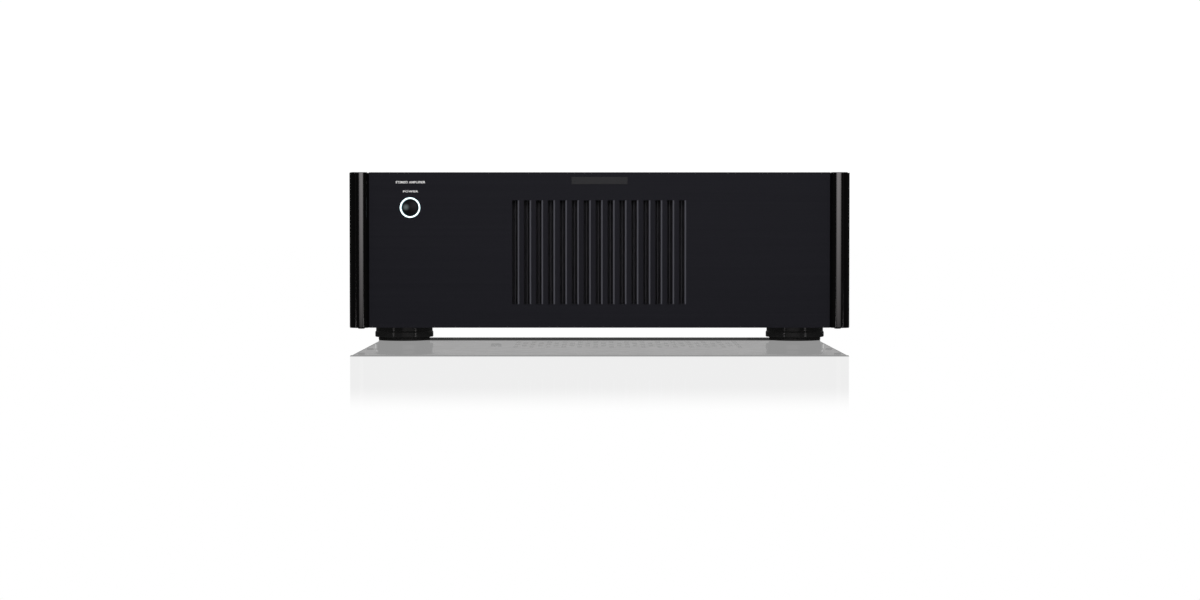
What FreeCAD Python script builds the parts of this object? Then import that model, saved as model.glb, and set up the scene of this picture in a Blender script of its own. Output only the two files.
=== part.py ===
# A stereo power amplifier, in millimetres.
# +X is the right side seen from the front, -Y is the front and +Z is up.
# The origin is on the floor, under the middle of the amplifier.
import FreeCAD, Part
import math
import os
from FreeCAD import Vector

X = Vector(1, 0, 0)
Y = Vector(0, 1, 0)
Z = Vector(0, 0, 1)

# ---------------------------------------------------------------- whole case
WIDTH = 431.0
DEPTH = 407.0
HEIGHT = 146.0
FOOT_HEIGHT = 12.0
SHEET = 1.5  # steel sheet
HAIR = 0.3  # gap between pieces that move past each other

FRONT = -DEPTH / 2
BACK = DEPTH / 2
FLOOR_LOW = FOOT_HEIGHT  # underside of the case
FLOOR_TOP = FLOOR_LOW + SHEET

# ---------------------------------------------------------------- front
COLUMN_WIDTH = 17.0
COLUMN_RADIUS = COLUMN_WIDTH / 2
COLUMN_PROUD = 6.5  # how far the columns stand in front of the fascia
COLUMN_X = WIDTH / 2 - COLUMN_RADIUS
FASCIA_THICK = 8.0
FASCIA_HALF = WIDTH / 2 - COLUMN_WIDTH
FASCIA_FRONT = FRONT + COLUMN_PROUD
FASCIA_BACK = FASCIA_FRONT + FASCIA_THICK
SUBPANEL_BACK = FASCIA_BACK + SHEET
EDGE = 0.5  # small chamfer on the fascia and columns

SLOT_COUNT = 15
SLOT_PITCH = 10.27
SLOT_MIDDLE = -1.0  # the row sits slightly left, to balance the bevels on the right of the slots
SLOT_WIDTH = 4.8
SLOT_LOW = 32.3
SLOT_HIGH = 121.9
BEVEL_WIDTH = 1.3  # the sloping land on the right of each slot
BEVEL_DEPTH = 0.57
SCREEN_RIB = 0.9
SCREEN_THICK = 1.2
SCREEN_MARGIN = 6.0
SCREEN_SETBACK = 5.0  # air gap between the steel panel and the screen

BADGE_LENGTH = 48.4
BADGE_HEIGHT = 6.4
BADGE_Z = 138.9
BADGE_SINK = 0.5
BADGE_PROUD = 0.3

# ---------------------------------------------------------------- power button
BUTTON_X = -163.2
BUTTON_Z = 115.6
BUTTON_TRAVEL = 3.0
RING_OUTER = 8.8
RING_INNER = 7.5
RING_PROUD = 0.4
CAP_RADIUS = RING_INNER - HAIR
CAP_RIM = 0.9  # how far the cap's rim sits behind the fascia's face
CAP_DOME = 1.6
CAP_LENGTH = 8.0
CAP_STEM_RADIUS = 2.2
CAP_STEM_END = 17.0  # from the fascia's face to the tip of the stem
HOUSING_OUTER = 10.5
HOUSING_FLOOR = 14.0  # from the fascia's face to the housing's floor
HOUSING_WALL = 1.6
SPRING_RADIUS = 4.5
SPRING_WIRE = 0.8
SPRING_TURNS = 4
SWITCH_HALF = 3.0
SWITCH_DEPTH = 3.0
BOARD_HALF = (17.0, 14.0)
BOARD_POST = (13.5, 10.5)
FRONT_BOARD_Y = FASCIA_FRONT + CAP_STEM_END + BUTTON_TRAVEL + SWITCH_DEPTH

# ---------------------------------------------------------------- cover, floor, rear
COVER_TOP = HEIGHT - 1.5
COVER_HALF = WIDTH / 2 - 1.5
COVER_BEND = 3.0
INNER_HALF = COVER_HALF - SHEET
REAR_FACE = BACK - 25.5
REAR_INNER = REAR_FACE - SHEET
COVER_VENT = (42.0, 3.6)
COVER_VENT_PITCH = 9.0
COVER_VENT_SIDE_X = 186.0
COVER_VENT_MIDDLE_X = 30.0
RAIL_LEG = 12.0
COVER_SCREW_Y = (-160.0, 0.0, 150.0)
COVER_SCREW_Z = FLOOR_TOP + RAIL_LEG / 2
FLOOR_VENT = (4.4, 34.0)
FLOOR_VENT_COLUMNS = 29
FLOOR_VENT_PITCH = (7.4, 48.0)
FLOOR_VENT_X = 26.0
FLOOR_VENT_Y = 21.0
BASE_SCREW_X = (-207.0, 207.0)
BASE_SCREW_Y = (-178.0, -90.0, 80.0, 168.0)
SCREW_RADIUS = 3.0
SCREW_HEAD = 1.5
SCREW_SHANK = 1.5
REAR_SCREW_SHANK = 1.3
REAR_EDGE_X = (-190.0, -64.0, 64.0, 190.0)  # the screws along the rear panel's upper edge
REAR_EDGE_Z = 135.0
REAR_VENT = (3.6, 26.0)
REAR_VENT_COUNT = 16
REAR_VENT_PITCH = 8.0
REAR_VENT_MIDDLE = (-110.0, 115.0)

# ---------------------------------------------------------------- feet
FOOT_X = 171.0
FOOT_FRONT_Y = -160.0
FOOT_REAR_Y = 141.5
FOOT_TOP_RADIUS = 24.7
FOOT_WIDE_RADIUS = 25.4
FOOT_FLARE_TOP = 8.4  # heights between which the foot widens
FOOT_FLARE_LOW = 7.2
FOOT_BORE = 2.0
FOOT_POCKET = 5.5
FOOT_SEAT = FOOT_HEIGHT - 3.0  # where the screw's head bears
PAD_RADIUS = 22.4
PAD_HOLE = 8.0
PAD_THICK = 3.0

# ---------------------------------------------------------------- rear connectors
SOCKET_X = {"left": 172.0, "right": 130.0}
XLR_Z = 98.0
XLR_FLANGE = 1.8
XLR_BARREL = 11.6
XLR_BORE = 9.6
XLR_INSERT = 7.8
XLR_MOUTH = 3.0  # how far the insulator sits behind the panel
XLR_DEPTH = 14.5  # from the panel's inner face to the socket's floor
XLR_SCREW = (9.5, 12.0)
CONTACT_ANGLES = (30.0, 150.0, 270.0)
CONTACT_RADIUS = 1.35
CONTACT_RING = 4.0
LATCH_HALF = 4.0
LATCH_TOP = 10.2
LATCH_THICK = 1.3
RCA_Z = 46.0
RCA_RADIUS = 4.15
RCA_REACH = 10.0
RCA_BORE = 3.4
RCA_CONTACT = 1.6
RCA_TAIL = 9.0
SELECTOR_X = 90.0
SELECTOR_STEM = (4.0, 3.6)  # width and height of a selector's slider
SELECTOR_DEPTH = 6.0
SELECTOR_SCREW = 9.5
INPUT_TRAVEL = 4.0
MODE_TRAVEL = 5.0
TRIGGER_X = 62.0
TRIGGER_SLEEVE = 3.8
TRIGGER_HEX = 5.2
INLET_X = -166.0
INLET_Z = 44.0
INLET_FLANGE = 2.0
INLET_HALF = (12.3, 8.4)
INLET_DEPTH = 15.0
INLET_WALL = 1.8
INLET_FLOOR = REAR_FACE + INLET_FLANGE - INLET_DEPTH
INLET_SCREW = 20.0
PIN_HALF = (1.0, 2.0)
POST_Z = 62.0
POST_SPACING = 19.05
POST_PAIRS = {"left": 12.0, "right": -66.0}
BANANA_RADIUS = 2.0
BANANA_DEPTH = 14.5
STEM_RADIUS = 3.0
STEM_END = BACK - 1.5
BASE_THICK = 4.0
COLLAR_RADIUS = 8.6
SPIGOT_RADIUS = 4.1
WASHER_THICK = 2.0
WASHER_RADIUS = 6.8
KNOB_RADIUS = 8.0
KNOB_FLUTES = 16
KNOB_SKIRT = 3.0
WASHER_START = REAR_FACE + BASE_THICK + HAIR
KNOB_START = WASHER_START + WASHER_THICK + HAIR

# ---------------------------------------------------------------- inside
TOROID_X = -96.0
TOROID_Y = -19.0
TOROID_OUTER = 56.0
TOROID_INNER = 20.0
TOROID_HEIGHT = 60.0
TOROID_PAD = 2.0
CLAMP_DISH = 3.0
BOLT_RADIUS = 3.0
SINK_X = 172.0  # inner faces of the heat sinks
SINK_PLATE = 8.0
SINK_REACH = 36.0
SINK_FOOT = 28.0
SINK_Y = (-130.0, 130.0)
SINK_Z = (18.0, 128.0)
FIN_PITCH = 10.0
FIN_THICK = 2.6
TRANSISTOR_Z = (52.0, 76.0)
BOARD = 1.6
BOARD_HOLE = 1.6
UPRIGHT_BOARD_Z = (28.0, 118.0)
STANDOFF_RADIUS = 3.0
AMP_BOARD_GAP = 9.0
CAN_RADIUS = 17.5
CAN_HEIGHT = 52.0
CAN_PITCH = 40.0
SUPPLY_Z = 22.0
SUPPLY_X = 26.0
SUPPLY_Y = 35.0
RECTIFIER_X = (-102.0, -62.0)
RECTIFIER_Y = 110.0
RECTIFIER_HALF = 14.0
RECTIFIER_HEIGHT = 9.0


# ---------------------------------------------------------------- shapes
def block(x, y, z):
    """A box between pairs of low and high values."""
    return Part.makeBox(x[1] - x[0], y[1] - y[0], z[1] - z[0], Vector(x[0], y[0], z[0]))


def around(centre, half):
    """The low and high values on either side of a centre."""
    return (centre - half, centre + half)


def rod(at, radius, length, axis=Y):
    return Part.makeCylinder(radius, length, Vector(*at), axis)


def tube(at, outer, inner, length, axis=Y):
    return rod(at, outer, length, axis).cut(rod(at, inner, length, axis))


def outline(points):
    """A flat face with straight sides through the points."""
    corners = [Vector(*p) for p in points]
    return Part.Face(Part.makePolygon(corners + corners[:1]))


def spun(profile, at, axis):
    """A solid of revolution: the profile gives (radius, distance along the axis)."""
    side = Z if axis == Y else X
    base = Vector(*at)
    face = outline([base + side * r + axis * d for r, d in profile])
    return face.revolve(base, axis, 360)


def hexagon(centre, radius, u, v):
    """A six-sided face about a centre, in the plane of two directions."""
    angles = [math.radians(60 * i) for i in range(7)]
    corners = [Vector(*centre) + u * (radius * math.cos(a)) + v * (radius * math.sin(a)) for a in angles]
    return Part.Face(Part.makePolygon(corners))


def cut_all(shape, tools):
    return shape.cut(Part.makeCompound(tools)) if tools else shape


def joined(shapes):
    """One solid made of pieces that meet."""
    return shapes[0].multiFuse(shapes[1:]).removeSplitter()


def group(shapes):
    return Part.makeCompound(shapes)


def spread(count, pitch, middle=0.0):
    """Evenly pitched positions about a middle."""
    return [middle + (i - (count - 1) / 2) * pitch for i in range(count)]


def save(name, shape):
    shape.exportStep(os.path.join("parts", name + ".step"))


# ---------------------------------------------------------------- front
def fascia():
    plate = block((-FASCIA_HALF, FASCIA_HALF), (FASCIA_FRONT, FASCIA_BACK), (FLOOR_LOW, HEIGHT))
    front_edges = [
        e for e in plate.Edges
        if abs(e.BoundBox.YMax - FASCIA_FRONT) < 1e-6 and e.BoundBox.ZLength < 1.0
    ]
    plate = plate.makeChamfer(EDGE, front_edges)
    tools = []
    for x in spread(SLOT_COUNT, SLOT_PITCH, SLOT_MIDDLE):
        low, high = x - SLOT_WIDTH / 2, x + SLOT_WIDTH / 2
        tools.append(block((low, high), (FASCIA_FRONT - 1, FASCIA_BACK + 1), (SLOT_LOW, SLOT_HIGH)))
        wedge = outline([
            (high - 0.1, FASCIA_FRONT - 0.1, SLOT_LOW),
            (high + BEVEL_WIDTH, FASCIA_FRONT - 0.1, SLOT_LOW),
            (high + BEVEL_WIDTH, FASCIA_FRONT, SLOT_LOW),
            (high, FASCIA_FRONT + BEVEL_DEPTH, SLOT_LOW),
            (high - 0.1, FASCIA_FRONT + BEVEL_DEPTH, SLOT_LOW),
        ])
        tools.append(wedge.extrude(Z * (SLOT_HIGH - SLOT_LOW)))
    tools.append(rod((BUTTON_X, FASCIA_FRONT - 1, BUTTON_Z), RING_OUTER, FASCIA_THICK + 2))
    tools.append(block(
        around(0, BADGE_LENGTH / 2),
        (FASCIA_FRONT - 1, FASCIA_FRONT + BADGE_SINK),
        around(BADGE_Z, BADGE_HEIGHT / 2),
    ))
    return cut_all(plate, tools)


def badge():
    bar = block(
        around(0, BADGE_LENGTH / 2),
        (FASCIA_FRONT - BADGE_PROUD, FASCIA_FRONT + BADGE_SINK),
        around(BADGE_Z, BADGE_HEIGHT / 2),
    )
    rim = [e for e in bar.Edges if abs(e.BoundBox.YMax - bar.BoundBox.YMin) < 1e-6]
    return bar.makeChamfer(BADGE_PROUD / 2, rim)


def column(side):
    """A half-round pillar with flat sides running back to the steel panel."""
    x = side * COLUMN_X
    axis_y = FRONT + COLUMN_RADIUS
    left = Vector(x - COLUMN_RADIUS, axis_y, FLOOR_LOW)
    right = Vector(x + COLUMN_RADIUS, axis_y, FLOOR_LOW)
    nose = Part.Arc(left, Vector(x, FRONT, FLOOR_LOW), right).toShape()
    back_right = Vector(right.x, FASCIA_BACK, FLOOR_LOW)
    back_left = Vector(left.x, FASCIA_BACK, FLOOR_LOW)
    wire = Part.Wire([
        nose,
        Part.makeLine(right, back_right),
        Part.makeLine(back_right, back_left),
        Part.makeLine(back_left, left),
    ])
    pillar = Part.Face(wire).extrude(Z * (HEIGHT - FLOOR_LOW))
    rounds = [e for e in pillar.Edges if e.BoundBox.ZLength < 1e-6 and e.BoundBox.YMin < axis_y - 1]
    return pillar.makeChamfer(EDGE, rounds)


def slot_row(extra_low, extra_high):
    """Prisms that carry the fascia's slots through the steel behind them."""
    prisms = []
    for x in spread(SLOT_COUNT, SLOT_PITCH, SLOT_MIDDLE):
        prisms.append(block(
            (x - SLOT_WIDTH / 2 - extra_low, x + SLOT_WIDTH / 2 + extra_high),
            (FASCIA_BACK - 1, SUBPANEL_BACK + 1),
            (SLOT_LOW - 0.8, SLOT_HIGH + 0.8),
        ))
    return prisms


def panel_sheet(y, low):
    """An upright sheet that fills the case, its upper corners cut to clear the cover's bends."""
    top = COVER_TOP - SHEET
    bend = COVER_BEND - SHEET
    face = outline([
        (-INNER_HALF, y[0], low),
        (INNER_HALF, y[0], low),
        (INNER_HALF, y[0], top - bend),
        (INNER_HALF - bend, y[0], top),
        (-INNER_HALF + bend, y[0], top),
        (-INNER_HALF, y[0], top - bend),
    ])
    return face.extrude(Y * (y[1] - y[0]))


def subpanel():
    plate = panel_sheet((FASCIA_BACK, SUBPANEL_BACK), FLOOR_LOW)
    hole = rod((BUTTON_X, FASCIA_BACK - 1, BUTTON_Z), RING_INNER, SHEET + 2)
    return cut_all(plate, slot_row(0.6, 1.6) + [hole])


def screen():
    """A tray that hides the works: a rib stands behind each slot, and air leaves by the sides."""
    reach = SLOT_COUNT * SLOT_PITCH / 2 + SCREEN_MARGIN
    low, high = SLOT_LOW - SCREEN_MARGIN, SLOT_HIGH + SCREEN_MARGIN
    back = SUBPANEL_BACK + SCREEN_SETBACK
    pieces = [block((-reach, reach), (back, back + SCREEN_THICK), (low, high))]
    for z in (low, high - SCREEN_THICK):
        pieces.append(block((-reach, reach), (SUBPANEL_BACK, back), (z, z + SCREEN_THICK)))
    for x in spread(SLOT_COUNT, SLOT_PITCH, SLOT_MIDDLE):
        pieces.append(block(
            around(x, SCREEN_RIB / 2),
            (SUBPANEL_BACK + 1, back),
            (low + SCREEN_THICK, high - SCREEN_THICK),
        ))
    return joined(pieces)


# ---------------------------------------------------------------- power button
def on_button(offset):
    """A point on the button's axis, a distance behind the fascia's face."""
    return (BUTTON_X, FASCIA_FRONT + offset, BUTTON_Z)


def light_ring():
    ring = tube(on_button(-RING_PROUD), RING_OUTER, RING_INNER, FASCIA_THICK + RING_PROUD)
    lips = [e for e in ring.Edges if e.BoundBox.YMax < FASCIA_FRONT]
    return ring.makeFillet(RING_PROUD * 0.7, lips)


def power_cap():
    """A domed cap with a stem down its middle that works the switch."""
    half_angle = math.asin(2 * CAP_DOME * CAP_RADIUS / (CAP_DOME**2 + CAP_RADIUS**2))
    dome_radius = CAP_RADIUS / math.sin(half_angle)
    rim_y = FASCIA_FRONT + CAP_RIM

    def at(radius, y):
        return Vector(BUTTON_X, y, BUTTON_Z + radius)

    dome = Part.Arc(
        at(0, rim_y - CAP_DOME),
        at(
            dome_radius * math.sin(half_angle / 2),
            rim_y - CAP_DOME + dome_radius * (1 - math.cos(half_angle / 2)),
        ),
        at(CAP_RADIUS, rim_y),
    ).toShape()
    back_y = FASCIA_FRONT + CAP_LENGTH
    tip_y = FASCIA_FRONT + CAP_STEM_END
    corners = [
        at(CAP_RADIUS, rim_y),
        at(CAP_RADIUS, back_y),
        at(CAP_STEM_RADIUS, back_y),
        at(CAP_STEM_RADIUS, tip_y),
        at(0, tip_y),
        at(0, rim_y - CAP_DOME),
    ]
    sides = [Part.makeLine(a, b) for a, b in zip(corners, corners[1:])]
    face = Part.Face(Part.Wire([dome] + sides))
    return face.revolve(Vector(*on_button(0)), Y, 360)


def button_housing():
    start = SUBPANEL_BACK - FASCIA_FRONT
    length = HOUSING_FLOOR - start + HOUSING_WALL
    cup = rod(on_button(start), HOUSING_OUTER, length)
    bore = rod(on_button(start - 1), RING_INNER, HOUSING_FLOOR - start + 1)
    stem_hole = rod(on_button(start), CAP_STEM_RADIUS + HAIR, length + 1)
    return cup.cut(bore).cut(stem_hole)


def button_spring():
    """A compression spring between the cap and the housing's floor."""
    start = CAP_LENGTH + HAIR + SPRING_WIRE / 2
    length = HOUSING_FLOOR - HAIR - SPRING_WIRE / 2 - start
    helix = Part.makeHelix(length / SPRING_TURNS, length, SPRING_RADIUS)
    ring = Part.makeCircle(SPRING_WIRE / 2, Vector(SPRING_RADIUS, 0, 0), Y)
    coil = Part.Wire(helix).makePipeShell([Part.Wire(ring)], True, True)
    coil.rotate(Vector(0, 0, 0), X, -90)
    coil.translate(Vector(*on_button(start)))
    return coil


def front_board():
    return block(
        around(BUTTON_X, BOARD_HALF[0]),
        (FRONT_BOARD_Y, FRONT_BOARD_Y + BOARD),
        around(BUTTON_Z, BOARD_HALF[1]),
    )


def power_switch():
    """A push switch on the front board, with posts that carry the board."""
    body = block(
        around(BUTTON_X, SWITCH_HALF),
        (FRONT_BOARD_Y - SWITCH_DEPTH + HAIR, FRONT_BOARD_Y),
        around(BUTTON_Z, SWITCH_HALF),
    )
    posts = []
    for x in around(BUTTON_X, BOARD_POST[0]):
        for z in around(BUTTON_Z, BOARD_POST[1]):
            posts.append(rod((x, SUBPANEL_BACK, z), 2.0, FRONT_BOARD_Y - SUBPANEL_BACK))
    return group([body] + posts)


# ---------------------------------------------------------------- case
def cover():
    """A sheet folded down both sides, with vent slots over the heat sinks and the middle."""
    length = REAR_FACE - SUBPANEL_BACK
    outer = block((-COVER_HALF, COVER_HALF), (SUBPANEL_BACK, REAR_FACE), (FLOOR_LOW, COVER_TOP))
    bends = [
        e for e in outer.Edges
        if abs(e.BoundBox.YLength - length) < 1e-3 and e.BoundBox.ZMin > COVER_TOP - 1
    ]
    outer = outer.makeFillet(COVER_BEND, bends)
    inner = block(
        (-INNER_HALF, INNER_HALF),
        (SUBPANEL_BACK - 1, REAR_FACE + 1),
        (FLOOR_LOW - 1, COVER_TOP - SHEET),
    )
    folds = [
        e for e in inner.Edges
        if abs(e.BoundBox.YLength - length - 2) < 1e-3 and e.BoundBox.ZMin > COVER_TOP - SHEET - 1
    ]
    shell = outer.cut(inner.makeFillet(COVER_BEND - SHEET, folds))
    slots = []
    fields = [
        (-COVER_VENT_SIDE_X, 26, 0.0),
        (COVER_VENT_SIDE_X, 26, 0.0),
        (-COVER_VENT_MIDDLE_X, 11, SUPPLY_Y),
        (COVER_VENT_MIDDLE_X, 11, SUPPLY_Y),
    ]
    for x, count, middle in fields:
        for y in spread(count, COVER_VENT_PITCH, middle):
            slots.append(block(
                around(x, COVER_VENT[0] / 2),
                around(y, COVER_VENT[1] / 2),
                (COVER_TOP - 2 * SHEET, COVER_TOP + 1),
            ))
    holes = []
    for y in COVER_SCREW_Y:
        holes.append(rod((-COVER_HALF - 1, y, COVER_SCREW_Z), SCREW_SHANK, WIDTH + 2, X))
    return cut_all(shell, slots + holes)


def screw(at, direction, head=SCREW_HEAD, radius=SCREW_RADIUS, shank=SCREW_SHANK, length=6.0):
    """A pan head screw: the head's seat is at the point, and it is driven along the direction."""
    seat = Vector(*at)
    crown = seat - direction * head
    top = Part.makeCylinder(radius, head, crown, direction)
    rim = [e for e in top.Edges if len(e.Vertexes) == 1 and e.CenterOfMass.isEqual(crown, 1e-4)]
    top = top.makeFillet(head * 0.55, rim)
    cross = []
    across = X if abs(direction.x) < 0.5 else Y
    other = direction.cross(across)
    arm_length = radius * 1.1
    arm_width = radius * 0.28
    for a, b in ((across, other), (other, across)):
        arm = Part.makeBox(arm_length, arm_width, head * 0.6)
        arm.translate(Vector(-arm_length / 2, -arm_width / 2, 0))
        turned = FreeCAD.Rotation(a, b, direction, "XYZ")
        arm.Placement = FreeCAD.Placement(crown, turned).multiply(arm.Placement)
        cross.append(arm)
    top = cut_all(top, cross)
    return joined([top, Part.makeCylinder(shank, length, seat, direction)])


def cover_screws():
    screws = []
    for y in COVER_SCREW_Y:
        screws.append(screw((-COVER_HALF, y, COVER_SCREW_Z), X))
        screws.append(screw((COVER_HALF, y, COVER_SCREW_Z), X * -1))
    return group(screws)


def rails():
    """Angle rails that join the floor to the cover's sides."""
    shapes = []
    for side in (-1, 1):
        outer = side * INNER_HALF
        upright = block(
            sorted((outer, outer - side * SHEET)),
            (SUBPANEL_BACK, REAR_INNER),
            (FLOOR_TOP, FLOOR_TOP + RAIL_LEG),
        )
        leg = block(
            sorted((outer, outer - side * RAIL_LEG)),
            (SUBPANEL_BACK, REAR_INNER),
            (FLOOR_TOP, FLOOR_TOP + SHEET),
        )
        rail = joined([upright, leg])
        holes = [rod((-WIDTH, y, COVER_SCREW_Z), SCREW_SHANK, 2 * WIDTH, X) for y in COVER_SCREW_Y]
        holes += [rod((x, y, FLOOR_LOW), SCREW_SHANK, 4 * SHEET, Z) for x, y in base_screw_places()]
        shapes.append(cut_all(rail, holes))
    return group(shapes)


def base_screw_places():
    return [(x, y) for x in BASE_SCREW_X for y in BASE_SCREW_Y]


def base_plate():
    """The floor of the case, with staggered vent slots under the boards."""
    plate = block((-INNER_HALF, INNER_HALF), (SUBPANEL_BACK, REAR_FACE), (FLOOR_LOW, FLOOR_TOP))
    tools = []
    for i, x in enumerate(spread(FLOOR_VENT_COLUMNS, FLOOR_VENT_PITCH[0], FLOOR_VENT_X)):
        for y in spread(3 - i % 2, FLOOR_VENT_PITCH[1], FLOOR_VENT_Y):
            tools.append(block(
                around(x, FLOOR_VENT[0] / 2),
                around(y, FLOOR_VENT[1] / 2),
                (FLOOR_LOW - 1, FLOOR_TOP + 1),
            ))
    holes = [(x, y, FOOT_BORE) for x, y in foot_places()]
    holes += [(x, y, SCREW_SHANK) for x, y in base_screw_places()]
    holes.append((TOROID_X, TOROID_Y, BOLT_RADIUS))
    for x, y, radius in holes:
        tools.append(rod((x, y, FLOOR_LOW - 1), radius, SHEET + 2, Z))
    return cut_all(plate, tools)


def base_screws():
    return group([screw((x, y, FLOOR_LOW), Z, length=5.0) for x, y in base_screw_places()])


# ---------------------------------------------------------------- feet
def foot_places():
    return [(x, y) for y in (FOOT_FRONT_Y, FOOT_REAR_Y) for x in (-FOOT_X, FOOT_X)]


def foot(x, y):
    """A moulded foot: a slightly flared drum with a pocket below for the pad and the screw."""
    profile = [
        (FOOT_BORE, FOOT_HEIGHT),
        (FOOT_TOP_RADIUS, FOOT_HEIGHT),
        (FOOT_TOP_RADIUS, FOOT_FLARE_TOP),
        (FOOT_WIDE_RADIUS, FOOT_FLARE_LOW),
        (FOOT_WIDE_RADIUS, PAD_THICK + EDGE),
        (FOOT_WIDE_RADIUS - EDGE, PAD_THICK),
        (FOOT_POCKET, PAD_THICK),
        (FOOT_POCKET, FOOT_SEAT),
        (FOOT_BORE, FOOT_SEAT),
    ]
    return spun(profile, (x, y, 0), Z)


def foot_pad(x, y):
    """A rubber ring that the foot stands on."""
    profile = [
        (PAD_HOLE, 0.0),
        (PAD_RADIUS - EDGE, 0.0),
        (PAD_RADIUS, EDGE),
        (PAD_RADIUS, PAD_THICK),
        (PAD_HOLE, PAD_THICK),
    ]
    return spun(profile, (x, y, 0), Z)


# ---------------------------------------------------------------- rear panel and connectors
def post_places():
    """Each loudspeaker post's name and X position."""
    places = []
    for side, middle in POST_PAIRS.items():
        places.append((side + "_positive", middle + POST_SPACING / 2))
        places.append((side + "_negative", middle - POST_SPACING / 2))
    return places


def rear_panel():
    plate = panel_sheet((REAR_INNER, REAR_FACE), FLOOR_TOP)
    through = REAR_INNER - 1
    deep = SHEET + 2
    tools = []
    for x in SOCKET_X.values():
        tools.append(rod((x, through, XLR_Z), 11.8, deep))
        tools.append(rod((x, through, RCA_Z), 5.0, deep))
    for z in (XLR_Z, RCA_Z):
        tools.append(rod((TRIGGER_X, through, z), TRIGGER_SLEEVE + 0.1, deep))
        tools.append(block(around(SELECTOR_X, 5.6), (through, through + deep), around(z, 2.6)))
    for _, x in post_places():
        tools.append(rod((x, through, POST_Z), SPIGOT_RADIUS + 0.1, deep))
    tools.append(block(around(INLET_X, 14.4), (through, through + deep), around(INLET_Z, 11.4)))
    for x in spread(REAR_VENT_COUNT, REAR_VENT_PITCH, REAR_VENT_MIDDLE[0]):
        tools.append(block(
            around(x, REAR_VENT[0] / 2),
            (through, through + deep),
            around(REAR_VENT_MIDDLE[1], REAR_VENT[1] / 2),
        ))
    for x, z, _ in rear_screw_places():
        tools.append(rod((x, through, z), REAR_SCREW_SHANK, deep))
    return cut_all(plate, tools)


def xlr_screw_offsets():
    return [(-XLR_SCREW[0], XLR_SCREW[1]), (XLR_SCREW[0], -XLR_SCREW[1])]


def rear_screw_places():
    """Each small screw's X, Z and the thickness of the flange under its head."""
    places = []
    for x in SOCKET_X.values():
        places += [(x + dx, XLR_Z + dz, XLR_FLANGE) for dx, dz in xlr_screw_offsets()]
        places.append((x, RCA_Z + 9.5, 0.0))
    for z in (XLR_Z, RCA_Z):
        places += [(x, z, 0.0) for x in around(SELECTOR_X, SELECTOR_SCREW)]
    places += [(x, INLET_Z, INLET_FLANGE) for x in around(INLET_X, INLET_SCREW)]
    places += [(x, REAR_EDGE_Z, 0.0) for x in REAR_EDGE_X]
    return places


def rear_screws():
    """Small screws for the sockets, switches and inlet, and for the panel's upper edge."""
    screws = []
    for x, z, flange in rear_screw_places():
        radius = 2.8 if z == REAR_EDGE_Z else 2.3
        screws.append(screw(
            (x, REAR_FACE + flange, z),
            Y * -1,
            head=1.2,
            radius=radius,
            shank=REAR_SCREW_SHANK,
            length=5.0,
        ))
    return group(screws)


def xlr_socket(x):
    """A square-flanged metal shell with an open round front and a slot for its latch."""
    flange = block(around(x, 13.0), (REAR_FACE, REAR_FACE + XLR_FLANGE), around(XLR_Z, 15.5))
    corners = [e for e in flange.Edges if e.BoundBox.YLength > XLR_FLANGE - 0.1]
    flange = flange.makeFillet(2.0, corners)
    barrel_start = REAR_INNER - XLR_DEPTH - SHEET
    barrel = rod((x, barrel_start, XLR_Z), XLR_BARREL, REAR_FACE - barrel_start)
    body = joined([flange, barrel])
    bore = rod((x, REAR_INNER - XLR_DEPTH, XLR_Z), XLR_BORE, 2 * XLR_DEPTH)
    latch = block(
        around(x, LATCH_HALF + HAIR),
        (REAR_INNER - 6.0, REAR_FACE + 5),
        (XLR_Z + 8.0, XLR_Z + LATCH_TOP + HAIR),
    )
    holes = []
    for dx, dz in xlr_screw_offsets():
        holes.append(rod((x + dx, REAR_FACE - 1, XLR_Z + dz), REAR_SCREW_SHANK, 5.0))
    return cut_all(body, [bore, latch] + holes)


def xlr_insert(x):
    """The black insulator with its three contact holes."""
    core = rod((x, REAR_INNER - XLR_DEPTH, XLR_Z), XLR_INSERT, XLR_DEPTH - XLR_MOUTH)
    holes = []
    for a in [math.radians(angle) for angle in CONTACT_ANGLES]:
        hole_x = x + CONTACT_RING * math.cos(a)
        hole_z = XLR_Z + CONTACT_RING * math.sin(a)
        holes.append(rod((hole_x, REAR_INNER - XLR_DEPTH + 2.5, hole_z), CONTACT_RADIUS, XLR_DEPTH))
    return cut_all(core, holes)


def xlr_latch(x):
    """The release tab above the socket, pressed in to let the plug go."""
    top = XLR_Z + LATCH_TOP
    tab = block(
        around(x, LATCH_HALF),
        (REAR_INNER - 2.0, REAR_FACE + 4.6),
        (top - LATCH_THICK, top),
    )
    tip = [e for e in tab.Edges if e.BoundBox.YMin > REAR_FACE + 4 and e.BoundBox.ZLength > 1]
    return tab.makeFillet(1.2, tip)


def rca_jack(x):
    """A gold barrel with a flange against the panel."""
    barrel = tube((x, REAR_FACE, RCA_Z), RCA_RADIUS, RCA_BORE, RCA_REACH)
    flange = tube((x, REAR_FACE, RCA_Z), 6.2, RCA_BORE, 1.6)
    tail = tube((x, REAR_INNER - RCA_TAIL, RCA_Z), 4.9, RCA_BORE, RCA_TAIL + SHEET)
    return joined([barrel, flange, tail])


def rca_insert(x):
    """The coloured insulator inside the barrel, with the centre contact's hole."""
    length = RCA_TAIL + SHEET + RCA_REACH - 1.0
    return tube((x, REAR_INNER - RCA_TAIL, RCA_Z), RCA_BORE, RCA_CONTACT, length)


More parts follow.
